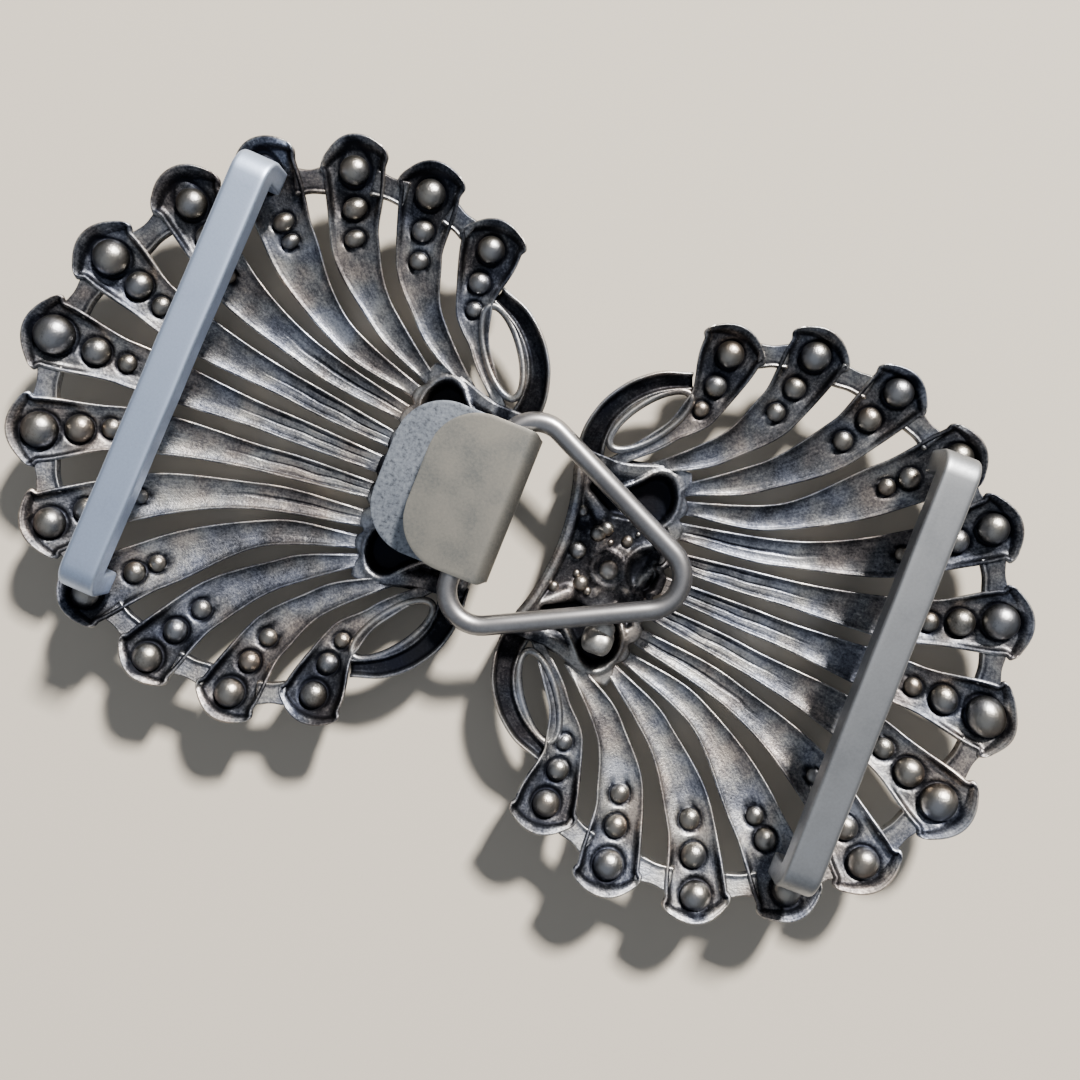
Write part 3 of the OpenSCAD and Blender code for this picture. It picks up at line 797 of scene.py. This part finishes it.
# Length over the bends, width, thickness, height of its back and outer radius of its bends
BAR_LEN, BAR_W, BAR_T, BAR_TOP, BAR_BEND = 34.2, 2.7, 1.8, 9.8, 1.9
BAR_SQUARE, BAR_WOBBLE = 12, 0.05
LEG_STEPS, FLAT_STEPS = 8, 40
# A bar's feet stand on the big beads of the fourth petals, a hair above them
BEAD_TOP, FOOT_GAP = 0.92, 0.08


def bar_section():
    """A rectangle with round corners, as rolled strip has."""
    out = []
    for k in range(64):
        t = 2 * math.pi * (k + 0.5) / 64
        c, s = math.cos(t), math.sin(t)
        r = (abs(c) ** BAR_SQUARE + abs(s) ** BAR_SQUARE) ** (-1 / BAR_SQUARE)
        out.append((c * r * BAR_W / 2, s * r * BAR_T / 2))
    return out


def bar_rows(x, lean):
    """Up one leg, round the bend, across, and down the other leg."""
    half, r = BAR_LEN / 2, BAR_BEND - BAR_T / 2
    reach = x + BAR_W / 2 + half * math.sin(math.radians(abs(lean)))
    foot = dish(reach, half) + BEAD_TOP + FOOT_GAP
    side = []
    for k in range(LEG_STEPS + 1):
        z = foot + (BAR_TOP - BAR_BEND - foot) * k / LEG_STEPS
        side.append((half - BAR_T / 2, z, 0))
    for k in range(1, BEND_STEPS + 1):
        t = math.pi / 2 * k / BEND_STEPS
        side.append((half - BAR_BEND + r * math.cos(t), BAR_TOP - BAR_BEND + r * math.sin(t), t))
    straight = 2 * half - 2 * BAR_BEND
    flat = [(half - BAR_BEND - straight * k / FLAT_STEPS, BAR_TOP - BAR_T / 2, math.pi / 2)
            for k in range(1, FLAT_STEPS)]
    return side + flat + [(-y, z, math.pi - t) for y, z, t in reversed(side)]


def make_bar(name, node, centre_x, centre_y, x, lean):
    """A bar over the fan at x from the fan's middle, turned by its lean in degrees."""
    bm = bmesh.new()
    rows = []
    for y, z, t in bar_rows(x, lean):
        high = Vector((0, math.cos(t), math.sin(t)))
        wobble = BAR_WOBBLE * noise.noise(Vector((0, y * 0.18, x)))
        rows.append((Vector((wobble, y, z)), Vector((1, 0, 0)), high))
    bent(bm, rows, bar_section(), False)
    lean_turn = Matrix.Rotation(math.radians(lean), 3, "Z")
    bmesh.ops.rotate(bm, cent=(0, 0, 0), matrix=lean_turn, verts=bm.verts)
    bmesh.ops.translate(bm, vec=(centre_x, centre_y, 0), verts=bm.verts)
    return to_object(bm, name, node)


HOOK_BAR_X, RING_BAR_X = 9.9, 10.4
hook_bar = make_bar("hook_side_strap_bar", "hook_side_bar", centre_x=-FAN_X - HOOK_BAR_X,
                    centre_y=FAN_SIDE + 0.5, x=HOOK_BAR_X, lean=-2.0)
ring_bar = make_bar("ring_side_strap_bar", "ring_side_bar", centre_x=FAN_X + RING_BAR_X,
                    centre_y=-FAN_SIDE, x=RING_BAR_X, lean=1.0)
print("bars over their bends in mm:", BAR_LEN)

# %% [markdown]
# The ring is soldered to its half by a small lug beside its lower side and a plain post hidden
# under its upper side. The lug shows as lumps of bright, speckled solder, so it is made of softened
# blocks; the post is a plain cylinder of the same solder.

# %% The ring's solder
# Lowest and highest corner of the lug's two lumps, then the post: radius, height and middle
LUG = [((7.6, -7.15, 1.1), (10.0, -4.9, 5.1)), ((8.1, -6.0, 3.7), (9.7, -4.3, 4.7))]
SQUARENESS, ROUGHNESS = 2.8, 0.06
POST_R, POST_TALL, POST_AT = 0.6, 3.6, (11, 2.55, 3.28)


def lump(bm, low, high):
    """A block so soft that it is nearly a pebble, with an uneven skin."""
    made = bmesh.ops.create_uvsphere(bm, u_segments=48, v_segments=32, radius=1)["verts"]
    middle = [(l + h) / 2 for l, h in zip(low, high)]
    half = [(h - l) / 2 for l, h in zip(low, high)]
    for v in made:
        swell = sum(abs(c) ** SQUARENESS for c in v.co) ** (-1 / SQUARENESS)
        swell *= 1 + ROUGHNESS * noise.noise(v.co * 1.6)
        v.co = [m + h * c * swell for m, h, c in zip(middle, half, v.co)]


solder = bmesh.new()
for low, high in LUG:
    lump(solder, low, high)
post = bmesh.ops.create_cone(solder, cap_ends=True, segments=24,
                             radius1=POST_R, radius2=POST_R, depth=POST_TALL)
bmesh.ops.translate(solder, vec=POST_AT, verts=post["verts"])
ring_lug = to_object(solder, "ring_solder", "ring")
print("solder lug's faces:", len(ring_lug.data.polygons))

# %% [markdown]
# Antique silver is a dark sulphide left in the hollows while the raised parts are rubbed bright.
# The castings carry how raised each point is, with some painted shade in creases and on the
# middle of the hub's plate and a painted highlight on some rims added, and one shared group turns
# that into a mask of bright metal, broken up by grain, pits and fine scratches as real rubbing
# leaves it.

# %% Wear as a shader group
wear_group = bpy.data.node_groups.new("rubbed silver", "ShaderNodeTree")
for name, way in (("Raised", "INPUT"), ("Bright", "OUTPUT"), ("Relief", "OUTPUT")):
    wear_group.interface.new_socket(name, in_out=way, socket_type="NodeSocketFloat")
wear_in = wear_group.nodes.new("NodeGroupInput")
wear_out = wear_group.nodes.new("NodeGroupOutput")
place = wear_group.nodes.new("ShaderNodeTexCoord")


def link(tree, a, b):
    """Joins an output to an input."""
    tree.links.new(a, b)


def noise_at(tree, coords, scale, detail, rough):
    """A noise pattern. The scale counts its patches in one metre."""
    n = tree.nodes.new("ShaderNodeTexNoise")
    n.inputs["Scale"].default_value = scale
    n.inputs["Detail"].default_value = detail
    n.inputs["Roughness"].default_value = rough
    link(tree, coords, n.inputs["Vector"])
    return n.outputs["Fac"]


def feed(tree, socket, value):
    """Sets an input to a number, or joins an output to it."""
    if isinstance(value, (int, float)):
        socket.default_value = value
    else:
        link(tree, value, socket)


def math_at(tree, operation, a, b):
    """The sum, difference or product of two values."""
    m = tree.nodes.new("ShaderNodeMath")
    m.operation = operation
    feed(tree, m.inputs[0], a)
    feed(tree, m.inputs[1], b)
    return m.outputs[0]


def ramp_at(tree, fac, stops):
    """Colours along a scale, each stop a position and a colour."""
    r = tree.nodes.new("ShaderNodeValToRGB")
    ramp = r.color_ramp
    while len(ramp.elements) < len(stops):
        ramp.elements.new(0.5)
    for element, (position, colour) in zip(ramp.elements, stops):
        element.position = position
        element.color = (*colour, 1)
    link(tree, fac, r.inputs["Fac"])
    return r.outputs["Color"]


def range_at(tree, value, low, high, to_low, to_high):
    """The value, moved from one range to another."""
    m = tree.nodes.new("ShaderNodeMapRange")
    m.inputs["From Min"].default_value = low
    m.inputs["From Max"].default_value = high
    m.inputs["To Min"].default_value = to_low
    m.inputs["To Max"].default_value = to_high
    link(tree, value, m.inputs["Value"])
    return m.outputs["Result"]


# Patches in one metre: large stains, coarse wear, and the fine grain and pits
PATCH_SCALE, COARSE_SCALE, FINE_SCALE = 160, 800, 5200
# Streaks run along a petal: they are short across it and long along it
STREAK_SCALE = (5.0, 0.35, 1.0)
STREAK_RELIEF = 0.6
# How raised a point has to be to show any bright metal, and to be all bright
RUBBED_FROM, RUBBED_FULL = 0.18, 0.85
patch = noise_at(wear_group, place.outputs["Object"], PATCH_SCALE, 2, 0.5)
coarse = noise_at(wear_group, place.outputs["Object"], COARSE_SCALE, 4, 0.65)
fine = noise_at(wear_group, place.outputs["Object"], FINE_SCALE, 4, 0.7)
grain = wear_group.nodes.new("ShaderNodeAttribute")
grain.attribute_name = "grain"
stretch = wear_group.nodes.new("ShaderNodeVectorMath")
stretch.operation = "MULTIPLY"
stretch.inputs[1].default_value = STREAK_SCALE
link(wear_group, grain.outputs["Vector"], stretch.inputs[0])
streaks = noise_at(wear_group, stretch.outputs["Vector"], 1.0, 4, 0.6)
raised = wear_in.outputs["Raised"]
for pattern, amount in ((patch, 0.6), (coarse, 0.55), (fine, 0.7), (streaks, 0.3)):
    centred = math_at(wear_group, "SUBTRACT", pattern, 0.5)
    raised = math_at(wear_group, "ADD", raised, math_at(wear_group, "MULTIPLY", centred, amount))
rubbing = range_at(wear_group, raised, RUBBED_FROM, RUBBED_FULL, 0, 1)
link(wear_group, rubbing, wear_out.inputs["Bright"])
relief = math_at(wear_group, "ADD", math_at(wear_group, "MULTIPLY", streaks, STREAK_RELIEF), fine)
link(wear_group, relief, wear_out.inputs["Relief"])
print("sockets of the group:", [s.name for s in wear_group.interface.items_tree])

# %% [markdown]
# The castings' metal: blue black in the hollows, dull grey on the slopes, and bright, slightly warm
# silver on the raised edges and beads, which are also the smoothest.

# %% The castings' finish
def metal(name):
    """A new metal material: its tree and its main shader."""
    material = bpy.data.materials.new(name)
    material.use_nodes = True
    tree = material.node_tree
    shader = tree.nodes["Principled BSDF"]
    shader.inputs["Metallic"].default_value = 1
    return material, tree, shader


def bump_at(tree, height, strength, distance, shader):
    """Fine relief of that many millimetres at most."""
    b = tree.nodes.new("ShaderNodeBump")
    b.inputs["Strength"].default_value = strength
    b.inputs["Distance"].default_value = distance * MM
    link(tree, height, b.inputs["Height"])
    link(tree, b.outputs["Normal"], shader.inputs["Normal"])


silver, tree, shader = metal("antique_silver")
wear_and_painted_light = tree.nodes.new("ShaderNodeAttribute")
wear_and_painted_light.attribute_name = "wear_and_painted_light"
rubbed = tree.nodes.new("ShaderNodeGroup")
rubbed.node_tree = wear_group
link(tree, wear_and_painted_light.outputs["Fac"], rubbed.inputs["Raised"])
bright = rubbed.outputs["Bright"]
grain = tree.nodes.new("ShaderNodeAttribute")
grain.attribute_name = "grain"
parts = tree.nodes.new("ShaderNodeSeparateXYZ")
link(tree, grain.outputs["Vector"], parts.inputs[0])
on_bead = parts.outputs["Z"]
# Black sulphide, dull grey and rubbed silver on the petals, and the beads' warmer metal
COOL = [(0, (0.01, 0.011, 0.015)), (0.3, (0.036, 0.039, 0.047)),
        (0.6, (0.14, 0.145, 0.16)), (1, (0.46, 0.46, 0.45))]
WARM = [(0, (0.01, 0.01, 0.012)), (0.3, (0.038, 0.037, 0.036)),
        (0.6, (0.14, 0.136, 0.127)), (1, (0.34, 0.328, 0.302))]
# Blue and brown stains, and how much of them shows
STAIN = [(0.36, (0.86, 0.94, 1.16)), (0.5, (1, 1, 1)), (0.64, (1.16, 0.99, 0.88))]
STAIN_SHARE = 0.75
DULL, POLISHED, BEAD_POLISH = 0.52, 0.36, 0.05


def mix_at(tree, factor, a, b, blend="MIX"):
    """Two colours mixed by a factor."""
    m = tree.nodes.new("ShaderNodeMix")
    m.data_type = "RGBA"
    m.blend_type = blend
    feed(tree, m.inputs["Factor"], factor)
    feed(tree, m.inputs["A"], a)
    feed(tree, m.inputs["B"], b)
    return m.outputs["Result"]


tone = mix_at(tree, on_bead, ramp_at(tree, bright, COOL), ramp_at(tree, bright, WARM))
where = tree.nodes.new("ShaderNodeTexCoord").outputs["Object"]
stain = ramp_at(tree, noise_at(tree, where, 260, 2, 0.5), STAIN)
tone = mix_at(tree, STAIN_SHARE, tone, stain, "MULTIPLY")
link(tree, tone, shader.inputs["Base Color"])
rough = range_at(tree, bright, 0, 1, DULL, POLISHED)
rough = math_at(tree, "SUBTRACT", rough, math_at(tree, "MULTIPLY", on_bead, BEAD_POLISH))
link(tree, rough, shader.inputs["Roughness"])
bump_at(tree, rubbed.outputs["Relief"], strength=0.3, distance=0.1, shader=shader)
for piece in castings:
    piece.data.materials.append(silver)

# %% [markdown]
# Sheet, wire and strip keep the satin of the rolling mill and the draw plate: a soft sheen, a fine
# grit, and a little grey tarnish in patches.

# %% The satin metals
TARNISH_RUN = (0.36, 0.64)
# How much rougher the tarnish is than the metal's own roughness, and how much smoother the rest
DULLER, SMOOTHER = 0.08, 0.06
GRIT_SCALE = 4200


def satin(name, light, dark, rough, scale, speckle):
    """A soft sheen between two tones. speckle is the share of grit in the patches of tarnish."""
    material, tree, shader = metal(name)
    coords = tree.nodes.new("ShaderNodeTexCoord").outputs["Object"]
    patches = noise_at(tree, coords, scale, 3, 0.5)
    grit = noise_at(tree, coords, GRIT_SCALE, 4, 0.7)
    mixed = math_at(tree, "MULTIPLY", patches, 1 - speckle)
    mixed = math_at(tree, "ADD", mixed, math_at(tree, "MULTIPLY", grit, speckle))
    stops = list(zip(TARNISH_RUN, (dark, light)))
    link(tree, ramp_at(tree, mixed, stops), shader.inputs["Base Color"])
    roughness = range_at(tree, mixed, 0.3, 0.7, rough + DULLER, rough - SMOOTHER)
    link(tree, roughness, shader.inputs["Roughness"])
    bump_at(tree, grit, strength=0.12, distance=0.03, shader=shader)
    return material


# Heights between which the hook's darker, bluer lower plate gives way to the lighter upper one
LOWER_PLATE_TOP = (4.8 * MM, 5.4 * MM)
LOWER_PLATE_TONES = [(0.36, (0.09, 0.1, 0.12)), (0.46, (0.2, 0.225, 0.27)), (0.66, (0.31, 0.345, 0.4))]
sheet_metal = satin("satin_sheet", light=(0.34, 0.325, 0.29), dark=(0.155, 0.162, 0.16),
                    rough=0.5, scale=330, speckle=0.4)
tree = sheet_metal.node_tree
shader = tree.nodes["Principled BSDF"]
where = tree.nodes.new("ShaderNodeTexCoord").outputs["Object"]
height = tree.nodes.new("ShaderNodeSeparateXYZ")
link(tree, where, height.inputs[0])
upper = range_at(tree, height.outputs["Z"], *LOWER_PLATE_TOP, 0, 1)
lower_plate_tone = ramp_at(tree, noise_at(tree, where, 3000, 6, 0.75), LOWER_PLATE_TONES)
light_tone = shader.inputs["Base Color"].links[0].from_socket
link(tree, mix_at(tree, upper, lower_plate_tone, light_tone), shader.inputs["Base Color"])
hook.data.materials.append(sheet_metal)
# Piece, material, light tone, dark tone, roughness, patches in one metre and share of grit
SATINS = [(ring, "drawn_wire", (0.42, 0.42, 0.435), (0.225, 0.225, 0.24), 0.36, 300, 0.3),
          (ring_lug, "solder", (0.78, 0.76, 0.72), (0.3, 0.3, 0.295), 0.42, 1100, 0.4),
          # The hook's strap bar is tinted blue all over: a painted reflection of a blue sky.
          (hook_bar, "strip_painted_sky_blue", (0.52, 0.63, 0.84), (0.36, 0.44, 0.6), 0.5, 260, 0.35),
          (ring_bar, "warm_strip", (0.38, 0.4, 0.43), (0.22, 0.235, 0.26), 0.46, 260, 0.35)]
for piece, *finish in SATINS:
    piece.data.materials.append(satin(*finish))
print("materials:", len(bpy.data.materials))

# %% [markdown]
# A plain pale floor and soft studio light. The main light stands where the photograph's sun did,
# beyond the clasp's long side at about forty degrees, so each bar's shadow falls on the petals
# below it.

# %% The floor and the light
FLOOR_HALF, FLOOR_ROUGH, FLOOR_TONE = 0.6, 0.9, (0.54, 0.5, 0.435, 1)
SKY_TONE, SKY_STRENGTH = (0.8, 0.84, 0.9, 1), 0.2
floor_mesh = bpy.data.meshes.new("floor")
bm = bmesh.new()
bmesh.ops.create_grid(bm, x_segments=1, y_segments=1, size=FLOOR_HALF)
bm.to_mesh(floor_mesh)
bm.free()
floor = bpy.data.objects.new("floor", floor_mesh)
bpy.context.collection.objects.link(floor)
pale, tree, shader = metal("pale_floor")
shader.inputs["Metallic"].default_value = 0
shader.inputs["Roughness"].default_value = FLOOR_ROUGH
shader.inputs["Base Color"].default_value = FLOOR_TONE
floor.data.materials.append(pale)


def area_light(name, direction, distance, size, power, colour):
    """A soft square light that looks at the clasp from a direction."""
    lamp = bpy.data.objects.new(name, bpy.data.lights.new(name, "AREA"))
    bpy.context.collection.objects.link(lamp)
    lamp.data.size = size
    lamp.data.energy = power
    lamp.data.color = colour
    d = Vector(direction).normalized()
    lamp.location = d * distance
    lamp.rotation_euler = d.to_track_quat("Z", "Y").to_euler()


area_light("sun_side", direction=(0.11, 0.76, 0.64), distance=0.9, size=0.1,
           power=31, colour=(1.0, 0.94, 0.86))
area_light("sky", direction=(-0.1, -0.4, 0.91), distance=0.5, size=0.8,
           power=0.6, colour=(0.86, 0.92, 1.0))
world = bpy.data.worlds.new("studio")
bpy.context.scene.world = world
world.use_nodes = True
background = world.node_tree.nodes["Background"]
background.inputs["Color"].default_value = SKY_TONE
background.inputs["Strength"].default_value = SKY_STRENGTH
print("lights:", len(bpy.data.lights))
